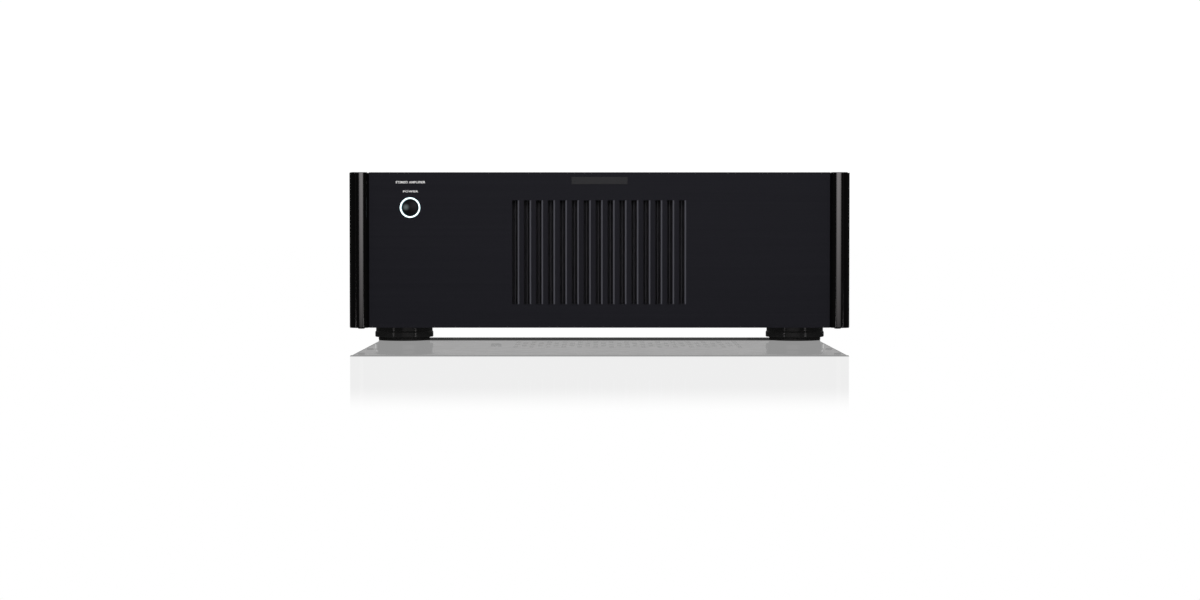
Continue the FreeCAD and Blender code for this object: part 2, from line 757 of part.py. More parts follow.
def trigger_jack(z):
    """A small jack: a nut and a threaded sleeve outside, and a square body inside."""
    nut = hexagon((TRIGGER_X, REAR_FACE, z), TRIGGER_HEX, X, Z).extrude(Y * 2.0)
    sleeve = rod((TRIGGER_X, REAR_INNER - 8.0, z), TRIGGER_SLEEVE, 8.0 + SHEET + 3.2)
    body = block(around(TRIGGER_X, 5.5), (REAR_INNER - 12.0, REAR_INNER), around(z, 5.5))
    hole = rod((TRIGGER_X, REAR_INNER - 10.0, z), 1.8, 20.0)
    return joined([nut, sleeve, body]).cut(hole)


def selector_frame(z, travel):
    """The slide switch's metal case behind the panel, open along the slider's path."""
    case = block(around(SELECTOR_X, 12.5), (REAR_INNER - 8.0, REAR_INNER), around(z, 5.0))
    path = block(
        around(SELECTOR_X, (SELECTOR_STEM[0] + travel) / 2 + HAIR),
        (REAR_INNER - SELECTOR_DEPTH, REAR_INNER + 1),
        around(z, SELECTOR_STEM[1] / 2 + HAIR),
    )
    holes = []
    for x in around(SELECTOR_X, SELECTOR_SCREW):
        holes.append(rod((x, REAR_INNER - 9.0, z), REAR_SCREW_SHANK, 12.0))
    return cut_all(case, [path] + holes)


def selector(z, rest_offset):
    """A slider with three grip grooves across its end."""
    x = SELECTOR_X + rest_offset
    stem = block(
        around(x, SELECTOR_STEM[0] / 2),
        (REAR_INNER - SELECTOR_DEPTH + HAIR, REAR_FACE + 3.4),
        around(z, SELECTOR_STEM[1] / 2),
    )
    grooves = []
    for gx in spread(3, 1.1, x):
        grooves.append(block(around(gx, 0.25), (REAR_FACE + 3.0, REAR_FACE + 4), around(z, 3)))
    return cut_all(stem, grooves)


def inlet_profile(half_x, half_z, cut_back, y):
    """The inlet's outline: a rectangle with its two lower corners cut off."""
    x0, x1 = INLET_X - half_x, INLET_X + half_x
    z0, z1 = INLET_Z - half_z, INLET_Z + half_z
    return outline([
        (x0 + cut_back, y, z0),
        (x1 - cut_back, y, z0),
        (x1, y, z0 + cut_back),
        (x1, y, z1),
        (x0, y, z1),
        (x0, y, z0 + cut_back),
    ])


def ac_inlet():
    """A mains inlet: a flange on the panel and a recess for the plug."""
    flange = block(around(INLET_X, 25.0), (REAR_FACE, REAR_FACE + INLET_FLANGE), around(INLET_Z, 14.0))
    corners = [e for e in flange.Edges if e.BoundBox.YLength > INLET_FLANGE - 0.1]
    flange = flange.makeFillet(5.0, corners)
    outer_half = [half + INLET_WALL for half in INLET_HALF]
    back_y = INLET_FLOOR - 3.0
    outer = inlet_profile(*outer_half, 5.5, back_y).extrude(Y * (REAR_FACE - back_y))
    tools = [inlet_profile(*INLET_HALF, 5.0, INLET_FLOOR).extrude(Y * (INLET_DEPTH + 5))]
    for x in around(INLET_X, INLET_SCREW):
        tools.append(rod((x, REAR_FACE - 1, INLET_Z), REAR_SCREW_SHANK, 5.0))
    for x, z in pin_places():
        tools.append(block(
            around(x, PIN_HALF[0]),
            (INLET_FLOOR - 5, INLET_FLOOR + 1),
            around(z, PIN_HALF[1]),
        ))
    return cut_all(joined([flange, outer]), tools)


def pin_places():
    return [(INLET_X - 7.0, INLET_Z - 1.5), (INLET_X + 7.0, INLET_Z - 1.5), (INLET_X, INLET_Z + 2.5)]


def inlet_pins():
    tip_y = INLET_FLOOR + 10.0
    pins = []
    for x, z in pin_places():
        pin = block(around(x, PIN_HALF[0]), (INLET_FLOOR - 8.0, tip_y), around(z, PIN_HALF[1]))
        tip = [e for e in pin.Edges if e.BoundBox.YMin > tip_y - 0.1]
        pins.append(pin.makeChamfer(0.4, tip))
    return group(pins)


def post_base(x):
    """The insulating collar round a post, with a spigot through the panel."""
    collar = tube((x, REAR_FACE, POST_Z), COLLAR_RADIUS, STEM_RADIUS, BASE_THICK)
    face_y = REAR_FACE + BASE_THICK
    edge = [
        e for e in collar.Edges
        if e.BoundBox.YMin > face_y - 0.1 and e.BoundBox.XLength > COLLAR_RADIUS
    ]
    collar = collar.makeChamfer(EDGE, edge)
    spigot = tube((x, REAR_INNER - 3.0, POST_Z), SPIGOT_RADIUS, STEM_RADIUS, 3.0 + SHEET)
    return joined([collar, spigot])


def post_stem(x):
    """A gold stem with a socket down its end and a cross hole for bare wire."""
    stem = rod((x, REAR_INNER - 16.0, POST_Z), STEM_RADIUS, STEM_END - REAR_INNER + 16.0)
    nut = tube((x, REAR_INNER - 6.0, POST_Z), 5.5, STEM_RADIUS, 3.0)
    socket = rod((x, STEM_END - BANANA_DEPTH, POST_Z), BANANA_RADIUS, BANANA_DEPTH + 1)
    wire_hole = rod((x, WASHER_START + 1.9, POST_Z - 6), 1.5, 12.0, Z)
    return cut_all(joined([stem, nut]), [socket, wire_hole])


def post_washer(x):
    return tube((x, WASHER_START, POST_Z), WASHER_RADIUS, STEM_RADIUS + HAIR, WASHER_THICK)


def post_knob(x):
    """A fluted screw knob, open at its end for a banana plug."""
    length = BACK - KNOB_START
    grip_y = KNOB_START + KNOB_SKIRT
    body = rod((x, grip_y, POST_Z), KNOB_RADIUS, length - KNOB_SKIRT)
    rim = [e for e in body.Edges if e.BoundBox.YMin > BACK - 0.1 and e.BoundBox.XLength > 10]
    body = body.makeChamfer(1.0, rim)
    flutes = []
    reach = KNOB_RADIUS + 0.5
    for i in range(KNOB_FLUTES):
        a = 2 * math.pi * i / KNOB_FLUTES
        at = (x + reach * math.cos(a), grip_y - 1, POST_Z + reach * math.sin(a))
        flutes.append(rod(at, 1.1, length))
    body = cut_all(body, flutes)
    collar = rod((x, KNOB_START, POST_Z), KNOB_RADIUS - 0.8, KNOB_SKIRT)
    bore = rod((x, KNOB_START - 1, POST_Z), STEM_RADIUS + HAIR, length + 2)
    return joined([body, collar]).cut(bore)


# ---------------------------------------------------------------- inside
def toroid():
    """The transformer: a ring with well rounded edges."""
    at = (TOROID_X, TOROID_Y, FLOOR_TOP + TOROID_PAD)
    ring = tube(at, TOROID_OUTER, TOROID_INNER, TOROID_HEIGHT, Z)
    return ring.makeFillet(12.0, [e for e in ring.Edges if e.BoundBox.ZLength < 1e-6])


def toroid_pads():
    """A rubber disc under the transformer and another on it."""
    radius = TOROID_OUTER - 10.0
    high = FLOOR_TOP + TOROID_PAD + TOROID_HEIGHT
    return group([
        tube((TOROID_X, TOROID_Y, FLOOR_TOP), radius, 2 * BOLT_RADIUS, TOROID_PAD, Z),
        tube((TOROID_X, TOROID_Y, high), radius, TOROID_INNER, TOROID_PAD, Z),
    ])


def toroid_clamp():
    """A dished disc that holds the transformer down."""
    rim = FLOOR_TOP + TOROID_HEIGHT + 2 * TOROID_PAD
    dish = rim - CLAMP_DISH
    hole = BOLT_RADIUS + 0.2
    edge = TOROID_OUTER - 12.0
    profile = [
        (hole, dish),
        (14.0, dish),
        (18.0, rim),
        (edge, rim),
        (edge, rim + SHEET),
        (17.4, rim + SHEET),
        (13.4, dish + SHEET),
        (hole, dish + SHEET),
    ]
    return spun(profile, (TOROID_X, TOROID_Y, 0), Z)


def toroid_bolt():
    """A long bolt up from the floor, and the nut on it."""
    top = FLOOR_TOP + TOROID_HEIGHT + 2 * TOROID_PAD - CLAMP_DISH + SHEET
    nut_height = 5.0
    bolt = screw(
        (TOROID_X, TOROID_Y, FLOOR_LOW),
        Z,
        head=2.5,
        radius=5.0,
        shank=BOLT_RADIUS,
        length=top + nut_height + 1.0 - FLOOR_LOW,
    )
    at = (TOROID_X, TOROID_Y, top)
    nut = hexagon(at, 5.8, X, Y).extrude(Z * nut_height)
    return group([bolt, nut.cut(rod(at, BOLT_RADIUS, nut_height, Z))])


def heat_sink(side):
    """A finned extrusion: the fins point out from a thick plate."""
    inner = side * SINK_X
    plate = block(sorted((inner, inner + side * SINK_PLATE)), SINK_Y, SINK_Z)
    fins = [plate]
    count = int((SINK_Y[1] - SINK_Y[0]) / FIN_PITCH)
    for y in spread(count, FIN_PITCH):
        fins.append(block(
            sorted((inner + side * SINK_PLATE, inner + side * SINK_REACH)),
            around(y, FIN_THICK / 2),
            SINK_Z,
        ))
    foot_bar = block(sorted((inner, inner + side * SINK_FOOT)), SINK_Y, (FLOOR_TOP, SINK_Z[0]))
    return joined(fins + [foot_bar])


def transistors():
    cases = []
    for side in (-1, 1):
        for y in spread(5, 44.0):
            face = side * SINK_X
            cases.append(block(sorted((face, face - side * 5.0)), around(y, 8.0), TRANSISTOR_Z))
    return group(cases)


def amp_board(side):
    x = side * (SINK_X - AMP_BOARD_GAP)
    board = block(sorted((x, x - side * BOARD)), (SINK_Y[0] + 15, SINK_Y[1] - 15), UPRIGHT_BOARD_Z)
    holes = [rod((-WIDTH, y, z), BOARD_HOLE, 2 * WIDTH, X) for y, z in amp_standoff_places()]
    return cut_all(board, holes)


def amp_standoff_places():
    low, high = UPRIGHT_BOARD_Z
    return [(y, z) for y in (SINK_Y[0] + 22, SINK_Y[1] - 22) for z in (low + 8, high - 8)]


def supply_extent():
    return around(SUPPLY_X, 62.0), around(SUPPLY_Y, 68.0)


def supply_corners():
    (x0, x1), (y0, y1) = supply_extent()
    return [(x, y) for x in (x0 + 6, x1 - 6) for y in (y0 + 6, y1 - 6)]


def supply_board():
    board = block(*supply_extent(), (SUPPLY_Z, SUPPLY_Z + BOARD))
    holes = [rod((x, y, SUPPLY_Z - 1), BOARD_HOLE, BOARD + 2, Z) for x, y in supply_corners()]
    return cut_all(board, holes)


def standoffs():
    """Spacers under the supply board and between each heat sink and its amplifier board."""
    posts = []
    for x, y in supply_corners():
        posts.append(rod((x, y, FLOOR_TOP), STANDOFF_RADIUS, SUPPLY_Z - FLOOR_TOP, Z))
    for side in (-1, 1):
        for y, z in amp_standoff_places():
            start = side * (SINK_X - AMP_BOARD_GAP)
            posts.append(rod((start, y, z), STANDOFF_RADIUS, AMP_BOARD_GAP, X * side))
    return group(posts)


def capacitors():
    cans = []
    for x in spread(2, CAN_PITCH, SUPPLY_X):
        for y in spread(2, CAN_PITCH, SUPPLY_Y - 20.0):
            can = rod((x, y, SUPPLY_Z + BOARD), CAN_RADIUS, CAN_HEIGHT, Z)
            ends = [e for e in can.Edges if e.BoundBox.ZLength < 1e-6]
            cans.append(can.makeFillet(1.5, ends))
    return group(cans)


def rectifiers():
    high = FLOOR_TOP + RECTIFIER_HEIGHT
    cases = []
    for x in RECTIFIER_X:
        cases.append(block(
            around(x, RECTIFIER_HALF), around(RECTIFIER_Y, RECTIFIER_HALF), (FLOOR_TOP, high)
        ))
    return group(cases)


def relays():
    low = SUPPLY_Z + BOARD
    y = around(SUPPLY_Y + 50.0, 14.5)
    return group([block(around(x, 10.0), y, (low, low + 20.0)) for x in spread(3, 32.0, SUPPLY_X)])


def input_board():
    x = (SOCKET_X["right"] - 20.0, SOCKET_X["left"] + 20.0)
    y = REAR_INNER - XLR_DEPTH - SHEET - BOARD
    return block(x, (y, y + BOARD), UPRIGHT_BOARD_Z)


# ---------------------------------------------------------------- write every piece
def main():
    os.makedirs("parts", exist_ok=True)
    save("front_fascia", fascia())
    save("blank_badge", badge())
    save("front_subpanel", subpanel())
    save("vent_screen", screen())
    save("light_ring", light_ring())
    save("power_button", power_cap())
    save("button_housing", button_housing())
    save("button_spring", button_spring())
    save("front_board", front_board())
    save("power_switch", power_switch())
    save("top_cover", cover())
    save("cover_screws", cover_screws())
    save("base_rails", rails())
    save("base_plate", base_plate())
    save("base_screws", base_screws())
    save("rear_panel", rear_panel())
    save("rear_screws", rear_screws())
    for name, y in (("feet_front", FOOT_FRONT_Y), ("feet_rear", FOOT_REAR_Y)):
        save(name, group([foot(-FOOT_X, y), foot(FOOT_X, y)]))
    save("foot_pads", group([foot_pad(x, y) for x, y in foot_places()]))
    save("foot_screws", group([
        screw((x, y, FOOT_SEAT), Z, head=2.5, radius=4.0, shank=FOOT_BORE, length=8.0)
        for x, y in foot_places()
    ]))
    for name, side in (("left", -1), ("right", 1)):
        save("end_column_" + name, column(side))
        save("heat_sink_" + name, heat_sink(side))
        save("amp_board_" + name, amp_board(side))
    save("toroid_windings", toroid())
    save("toroid_pads", toroid_pads())
    save("toroid_clamp_plate", toroid_clamp())
    save("toroid_bolt", toroid_bolt())
    save("output_transistors", transistors())
    save("supply_board", supply_board())
    save("board_standoffs", standoffs())
    save("filter_capacitors", capacitors())
    save("bridge_rectifiers", rectifiers())
    save("relays", relays())
    save("input_board", input_board())
    save("ac_inlet", ac_inlet())
    save("inlet_pins", inlet_pins())
    save("rca_jacks", group([rca_jack(x) for x in SOCKET_X.values()]))
    save("rca_inserts", group([rca_insert(x) for x in SOCKET_X.values()]))
    save("xlr_sockets", group([xlr_socket(x) for x in SOCKET_X.values()]))
    save("xlr_inserts", group([xlr_insert(x) for x in SOCKET_X.values()]))
    for name, x in SOCKET_X.items():
        save("xlr_latch_" + name, xlr_latch(x))
    save("trigger_jacks", group([trigger_jack(z) for z in (XLR_Z, RCA_Z)]))
    save("selector_frames", group([
        selector_frame(XLR_Z, INPUT_TRAVEL),
        selector_frame(RCA_Z, MODE_TRAVEL),
    ]))
    save("input_selector", selector(XLR_Z, -INPUT_TRAVEL / 2))
    save("mode_selector", selector(RCA_Z, 0.0))
    save("post_bases", group([post_base(x) for _, x in post_places()]))
    save("post_stems", group([post_stem(x) for _, x in post_places()]))
    for name, x in post_places():
        save("clamp_washer_" + name, post_washer(x))
        save("post_knob_" + name, post_knob(x))


main()
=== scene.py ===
import math

import bpy
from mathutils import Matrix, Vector

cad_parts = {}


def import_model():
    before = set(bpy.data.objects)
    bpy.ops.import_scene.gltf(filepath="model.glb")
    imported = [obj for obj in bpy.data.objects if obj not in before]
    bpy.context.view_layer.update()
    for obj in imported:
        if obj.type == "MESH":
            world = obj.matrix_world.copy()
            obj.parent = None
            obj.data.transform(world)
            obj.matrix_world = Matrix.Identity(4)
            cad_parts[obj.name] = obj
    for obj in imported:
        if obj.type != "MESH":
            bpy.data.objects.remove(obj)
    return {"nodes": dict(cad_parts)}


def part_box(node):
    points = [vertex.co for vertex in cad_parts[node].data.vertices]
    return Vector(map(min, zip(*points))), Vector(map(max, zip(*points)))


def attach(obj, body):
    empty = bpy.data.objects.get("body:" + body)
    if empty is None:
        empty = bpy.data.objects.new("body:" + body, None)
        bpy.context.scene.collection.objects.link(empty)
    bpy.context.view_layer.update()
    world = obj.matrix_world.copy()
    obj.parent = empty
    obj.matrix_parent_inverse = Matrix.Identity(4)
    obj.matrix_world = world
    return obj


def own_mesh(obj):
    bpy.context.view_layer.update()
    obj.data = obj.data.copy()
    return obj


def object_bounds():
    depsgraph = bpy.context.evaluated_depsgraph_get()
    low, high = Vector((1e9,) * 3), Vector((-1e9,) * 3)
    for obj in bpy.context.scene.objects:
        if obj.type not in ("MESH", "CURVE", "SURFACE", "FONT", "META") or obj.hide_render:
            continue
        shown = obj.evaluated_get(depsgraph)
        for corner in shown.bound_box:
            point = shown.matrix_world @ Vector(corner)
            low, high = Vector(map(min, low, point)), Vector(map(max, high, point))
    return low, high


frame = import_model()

CAD_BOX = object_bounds()
LOW, HIGH = (Vector(corner) for corner in CAD_BOX)

# ---------------------------------------------------------------- places read from the frame
FRONT_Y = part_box("front_fascia")[0].y
REAR_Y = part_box("rear_panel")[1].y
RING_LOW, RING_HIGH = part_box("light_ring")
RING = (RING_LOW + RING_HIGH) / 2
SIDES = ("left", "right")

# ---------------------------------------------------------------- camera
COLUMN_AXIS_Y = LOW.y + 0.0085
CAMERA_HEIGHT = 0.100
CAMERA_DISTANCE = 2.300  # in front of the columns' axes
CAMERA_LENS = 80.0
CAMERA_SENSOR = 36.0
CAMERA_PITCH = math.radians(1.596)
CAMERA_SHIFT_X = 0.0004

# ---------------------------------------------------------------- light
PANEL_COLOUR = (1.0, 0.95, 0.96, 1.0)
BAND_CENTRE = (0.050, LOW.y - 0.45, 0.206)
BAND_SIZE = (0.500, 0.428)
BAND_GRADIENT = (-0.005, 0.153, 1.3, 4.7)  # two heights, and the front light's brightness at each
BAND_FADE = 0.4  # how much darker its left and right edges are

# Each strip's name, its place from the middle of the fascia, and the height of its low part.
STRIPS = (("left_strip", -1.42, -1.49, -0.087), ("right_strip", 0.896, -0.873, -0.056))
STRIP_WIDTH = 0.1  # for each metre of distance
STRIP_HEIGHT = 0.6
STRIP_Z = 0.28
STRIP_STRENGTH = 0.12
LOW_STRIP_HEIGHT = 0.038
LOW_STRIP_STRENGTH = 8.0  # the feet reflect this low part

# Lamp powers. The front fill is the broad one that lights the front evenly.
FRONT_FILL = 51.0
OVERHEAD = 30
REAR_FILL = 35

# The room is dim, except for a white backdrop behind the object.
SURROUND = 0.04
BACKDROP_TURN = (0.55, 0.75)  # how far towards the back a direction points where the backdrop begins
BACKDROP_RISE = (0.026, 0.034)  # how far upwards
BACKDROP_SEEN = 1.02  # brightness to the camera

# ---------------------------------------------------------------- floor
FLOOR_REACH = 12.0
# The floor's mirror. Each reach says where the mirror starts and stops fading, in front of the object.
MIRROR_NEAR = 0.72
NEAR_REACH = (0.248, 0.262)
MIRROR_FAR = 0.145
FAR_REACH = (0.62, 0.88)
SIDE_FADE = 0.11  # how far past the object's sides the mirror fades out
GLANCING = (0.895, 0.929)  # how nearly edge-on the floor is seen when its mirror comes in
UNDER_Y = -0.109  # behind this line the floor under the object is plain white
SEAM_Y = -0.170  # from here to that line the floor mirrors the dark rear of the case's underside
SEAM_INSET = 0.003  # from the object's sides
MIRROR_SEAM = 0.97
# The soft shade round the object: how dark it is at its foot, and how far it reaches.
SHADE = 0.2
SHADE_REACH = 0.34

# ---------------------------------------------------------------- lettering
PRINT_HEIGHT = 0.00008  # how far printed lettering stands off its panel


# ---------------------------------------------------------------- node building blocks
class Graph:
    """A node tree with short ways to add and join nodes."""

    def __init__(self, tree):
        self.tree = tree

    def node(self, kind, **settings):
        made = self.tree.nodes.new("ShaderNode" + kind)
        for key, value in settings.items():
            setattr(made, key, value)
        return made

    def feed(self, socket, value):
        """Link a socket to another, or set its constant."""
        if hasattr(value, "links"):
            self.tree.links.new(value, socket)
        else:
            socket.default_value = value

    def math(self, operation, *values):
        made = self.node("Math", operation=operation)
        for socket, value in zip(made.inputs, values):
            self.feed(socket, value)
        return made.outputs[0]

    def remap(self, source, low, high, to_low=0.0, to_high=1.0, smooth=False):
        made = self.node("MapRange", interpolation_type="SMOOTHSTEP" if smooth else "LINEAR")
        for socket, value in zip(made.inputs, (source, low, high, to_low, to_high)):
            self.feed(socket, value)
        return made.outputs["Result"]

    def split(self, vector):
        made = self.node("SeparateXYZ")
        self.feed(made.inputs[0], vector)
        return made.outputs

    def blend(self, factor, first, second):
        """A mix of two colours, each a socket or an RGB triple."""
        made = self.node("Mix", data_type="RGBA")
        self.feed(made.inputs["Factor"], factor)
        for socket, value in ((made.inputs[6], first), (made.inputs[7], second)):
            self.feed(socket, value if hasattr(value, "links") else (*value, 1.0))
        return made.outputs[2]

    def mix_shaders(self, factor, first, second):
        """A mix of two shaders."""
        made = self.node("MixShader")
        for socket, value in zip(made.inputs, (factor, first, second)):
            self.feed(socket, value)
        return made.outputs[0]

    def show(self, surface):
        """Make a shader the material's surface."""
        self.feed(self.node("OutputMaterial").inputs["Surface"], surface)


class Shader(Graph):
    """A Principled material, with texture coordinates in metres."""

    def __init__(self, name, colour, roughness, **settings):
        self.material = bpy.data.materials.new(name)
        self.material.use_nodes = True
        super().__init__(self.material.node_tree)
        self.bsdf = self.tree.nodes["Principled BSDF"]
        self.coords = self.node("TexCoord")
        self.height = None
        self.set("Base Color", (*colour, 1.0))
        self.set("Roughness", roughness)
        for socket, value in settings.items():
            self.set(socket.replace("_", " "), value)

    def set(self, socket, value):
        self.feed(self.bsdf.inputs[socket], value)

    def place(self, stretch=(1, 1, 1)):
        mapping = self.node("Mapping")
        mapping.inputs["Scale"].default_value = stretch
        self.feed(mapping.inputs["Vector"], self.coords.outputs["Object"])
        return mapping.outputs["Vector"]

    def position(self):
        return self.split(self.coords.outputs["Object"])

    def normal(self):
        return self.split(self.coords.outputs["Normal"])

    def radius(self, centre_x, centre_z):
        """Distance from a line that runs front to back."""
        x, _, z = self.position()
        across = self.math("POWER", self.math("SUBTRACT", x, centre_x), 2.0)
        up = self.math("POWER", self.math("SUBTRACT", z, centre_z), 2.0)
        return self.math("SQRT", self.math("ADD", across, up))

    def noise(self, scale, stretch=(1, 1, 1), detail=4.0, rough=0.6):
        made = self.node("TexNoise")
        made.inputs["Scale"].default_value = scale
        made.inputs["Detail"].default_value = detail
        made.inputs["Roughness"].default_value = rough
        self.feed(made.inputs["Vector"], self.place(stretch))
        return made.outputs["Fac"]

    def colour(self, factor, first, second):
        self.set("Base Color", self.blend(factor, first, second))

    def roughness(self, factor, low, high):
        self.set("Roughness", self.remap(factor, 0.3, 0.7, low, high))

    def bump(self, height, distance, strength):
        made = self.node("Bump")
        made.inputs["Strength"].default_value = strength
        made.inputs["Distance"].default_value = distance
        self.feed(made.inputs["Height"], height)
        if self.height is not None:
            self.feed(made.inputs["Normal"], self.height)
        self.height = made.outputs["Normal"]
        self.set("Normal", self.height)


def shaded(colour, share):
    return tuple(c * share for c in colour)


def paint(nodes, shader):
    """Give CAD nodes a material."""
    for name in nodes:
        for slot in frame["nodes"][name].material_slots:
            slot.material = shader.material


# ---------------------------------------------------------------- materials of the front
def brushed_fascia():
    """Black anodised aluminium, brushed sideways, with bare cut edges beside the slots, whose paler grey is
    also a painted highlight of light from the left.
    """
    s = Shader("brushed_black_anodising", (0.012, 0.012, 0.015), 0.42, Specular_IOR_Level=0.012)
    streaks = s.noise(1.0, (9.0, 40.0, 2600.0), detail=5.0, rough=0.75)
    broad = s.noise(1.0, (2.5, 10.0, 420.0), detail=3.0)
    grain = s.math("MULTIPLY_ADD", broad, 0.45, s.math("MULTIPLY", streaks, 0.55))
    dark = s.blend(s.remap(grain, 0.35, 0.65), (0.0105, 0.0104, 0.0134), (0.0128, 0.0127, 0.0160))
    facing = s.normal()[0]
    least, most = -0.6, -0.25  # the lands beside the slots face left by an amount between these
    # The left-facing cut edges are painted a paler grey: bare metal, and also a painted highlight of light
    # from the left.
    cut_edge_and_highlight = s.math("MULTIPLY", s.math("LESS_THAN", facing, most), s.math("GREATER_THAN", facing, least))
    s.colour(cut_edge_and_highlight, dark, (0.070, 0.070, 0.082))
    s.roughness(grain, 0.36, 0.50)
    s.bump(streaks, 0.00004, 0.3)
    return s


def column_lacquer():
    s = Shader("gloss_black_lacquer", (0.0012, 0.0011, 0.0011), 0.10)
    s.roughness(s.noise(35.0), 0.085, 0.11)
    s.bump(s.noise(260.0, detail=2.0), 0.00001, 0.12)
    return s


def button_satin():
    """Satin black, with a painted glow on the dome left of its middle, standing in for light from the ring.
    """
    s = Shader("button_satin", (0.004, 0.0042, 0.005), 0.3, Specular_IOR_Level=0.07)
    s.roughness(s.noise(300.0), 0.36, 0.44)
    s.bump(s.noise(2500.0), 0.00001, 0.3)
    # A painted glow: a soft spot of emission left of the dome's middle.
    painted_glow_x, painted_glow_z = RING.x - 0.0036, RING.z + 0.0004
    painted_glow_reach, painted_glow_strength = 0.0038, 0.13
    s.set("Emission Color", (0.8, 1.0, 1.0, 1.0))
    glow = s.remap(s.radius(painted_glow_x, painted_glow_z), 0.0, painted_glow_reach, painted_glow_strength, 0.0, smooth=True)
    s.set("Emission Strength", glow)
    return s


def glowing_ring():
    """A lit diffuser: white along the middle of the ring and cyan at its edges."""
    s = Shader("ring_diffuser", (0.80, 0.94, 0.95), 0.35)
    middle = (RING_HIGH.x - RING_LOW.x) / 2 - 0.00072
    from_middle = s.math("ABSOLUTE", s.math("SUBTRACT", s.radius(RING.x, RING.z), middle))
    edge = s.remap(from_middle, 0.0002, 0.0007)
    s.set("Emission Color", s.blend(edge, (0.95, 1.0, 1.0), (0.04, 0.30, 0.36)))
    s.set("Emission Strength", 1.1)
    s.bump(s.noise(1200.0), 0.00001, 0.3)
    return s


def screen_paint():
    """Matt black paint, painted paler along the front edges of the ribs as a highlight where light through
    the slots falls on them.
    """
    edge_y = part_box("front_subpanel")[1].y + 0.0012
    s = Shader("screen_paint", (0.0045, 0.0045, 0.0064), 0.65, Specular_IOR_Level=0.2)
    # Painted highlight: the ribs' front edges are paler where light through the slots falls.
    painted_lit_edge = s.math("LESS_THAN", s.position()[1], edge_y)
    s.colour(painted_lit_edge, (0.0045, 0.0045, 0.0064), (0.026, 0.026, 0.030))
    s.bump(s.noise(1500.0), 0.00008, 0.4)
    return s


# ---------------------------------------------------------------- general materials
def powder_coat(name, colour, grain=1500.0):
    """Fine pebbled powder coating, slightly uneven in tone."""
    s = Shader(name, colour, 0.6, Specular_IOR_Level=0.45)
    pebbles = s.noise(grain, detail=2.0, rough=0.5)
    s.colour(s.noise(14.0), colour, shaded(colour, 1.45))
    s.roughness(pebbles, 0.5, 0.68)
    s.bump(pebbles, 0.00012, 0.55)
    return s


def moulded(name, colour, roughness=(0.36, 0.5), grain=900.0, depth=0.00005, specular=0.45):
    s = Shader(name, colour, 0.42, Specular_IOR_Level=specular)
    fine = s.noise(grain, detail=3.0)
    s.colour(s.noise(60.0), colour, shaded(colour, 1.3))
    s.roughness(fine, *roughness)
    s.bump(fine, depth, 0.4)
    return s


def plated(name, colour, roughness=(0.14, 0.26)):
    s = Shader(name, colour, 0.2, Metallic=1.0)
    s.colour(s.noise(120.0), colour, shaded(colour, 0.86))
    s.roughness(s.noise(900.0, detail=3.0), *roughness)
    s.bump(s.noise(1400.0), 0.00001, 0.3)
    return s


def floor_sheet():
    """Zinc plate with a faint spangle, black along its rear."""
    s = Shader("zinc_plated_sheet", (0.50, 0.51, 0.52), 0.42)
    cells = s.node("TexVoronoi")
    cells.inputs["Scale"].default_value = 95.0
    s.feed(cells.inputs["Vector"], s.place())
    tone = s.split(cells.outputs["Color"])
    spangle = s.blend(tone[0], (0.33, 0.32, 0.32), (0.45, 0.44, 0.44))
    black_rear_edge_y = 0.098
    # The plate is black from this line to its rear edge.
    black_rear = s.math("GREATER_THAN", s.position()[1], black_rear_edge_y)
    s.colour(black_rear, spangle, (0.012, 0.012, 0.012))
    s.set("Metallic", s.remap(black_rear, 0.0, 1.0, 0.55, 0.0))
    s.roughness(tone[1], 0.34, 0.5)
    s.bump(s.noise(420.0), 0.00003, 0.3)
    return s


# ---------------------------------------------------------------- materials inside the case
def taped_windings():
    """Yellow film tape wound round the ring, each turn lapping the last."""
    low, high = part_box("toroid_windings")
    centre = (low + high) / 2
    s = Shader("winding_tape", (0.42, 0.26, 0.05), 0.3, Coat_Weight=0.4)
    x, y, _ = s.position()
    angle = s.math("ARCTAN2", s.math("SUBTRACT", y, centre.y), s.math("SUBTRACT", x, centre.x))
    turn_count = 64
    turns = s.math("FRACT", s.math("MULTIPLY", angle, turn_count / (2 * math.pi)))
    s.colour(turns, (0.48, 0.30, 0.06), (0.30, 0.17, 0.03))
    s.bump(turns, 0.0003, 0.6)
    return s


def circuit_board():
    """Green solder mask with paler tracks."""
    s = Shader("solder_mask", (0.01, 0.09, 0.04), 0.35, Coat_Weight=0.3)
    tracks = s.node("TexBrick", offset=0.5)
    tracks.inputs["Scale"].default_value = 110.0
    tracks.inputs["Mortar Size"].default_value = 0.06
    s.feed(tracks.inputs["Vector"], s.place())
    s.colour(tracks.outputs["Fac"], (0.010, 0.085, 0.035), (0.03, 0.17, 0.07))
    return s


def can_sleeve():
    """Dark blue sleeves with bare aluminium tops."""
    s = Shader("can_sleeve", (0.006, 0.012, 0.05), 0.25)
    top = s.math("GREATER_THAN", s.normal()[2], 0.9)
    s.colour(top, (0.006, 0.012, 0.05), (0.6, 0.6, 0.6))
    s.set("Metallic", top)
    s.bump(s.noise(500.0), 0.00003, 0.3)
    return s


def jack_inserts():
    """White in one line socket and red in the other."""
    low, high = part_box("rca_inserts")
    s = Shader("jack_insert", (0.5, 0.5, 0.5), 0.35)
    side = s.math("GREATER_THAN", s.position()[0], (low.x + high.x) / 2)
    s.colour(side, (0.45, 0.01, 0.01), (0.75, 0.75, 0.73))
    s.bump(s.noise(900.0), 0.00002, 0.3)
    return s


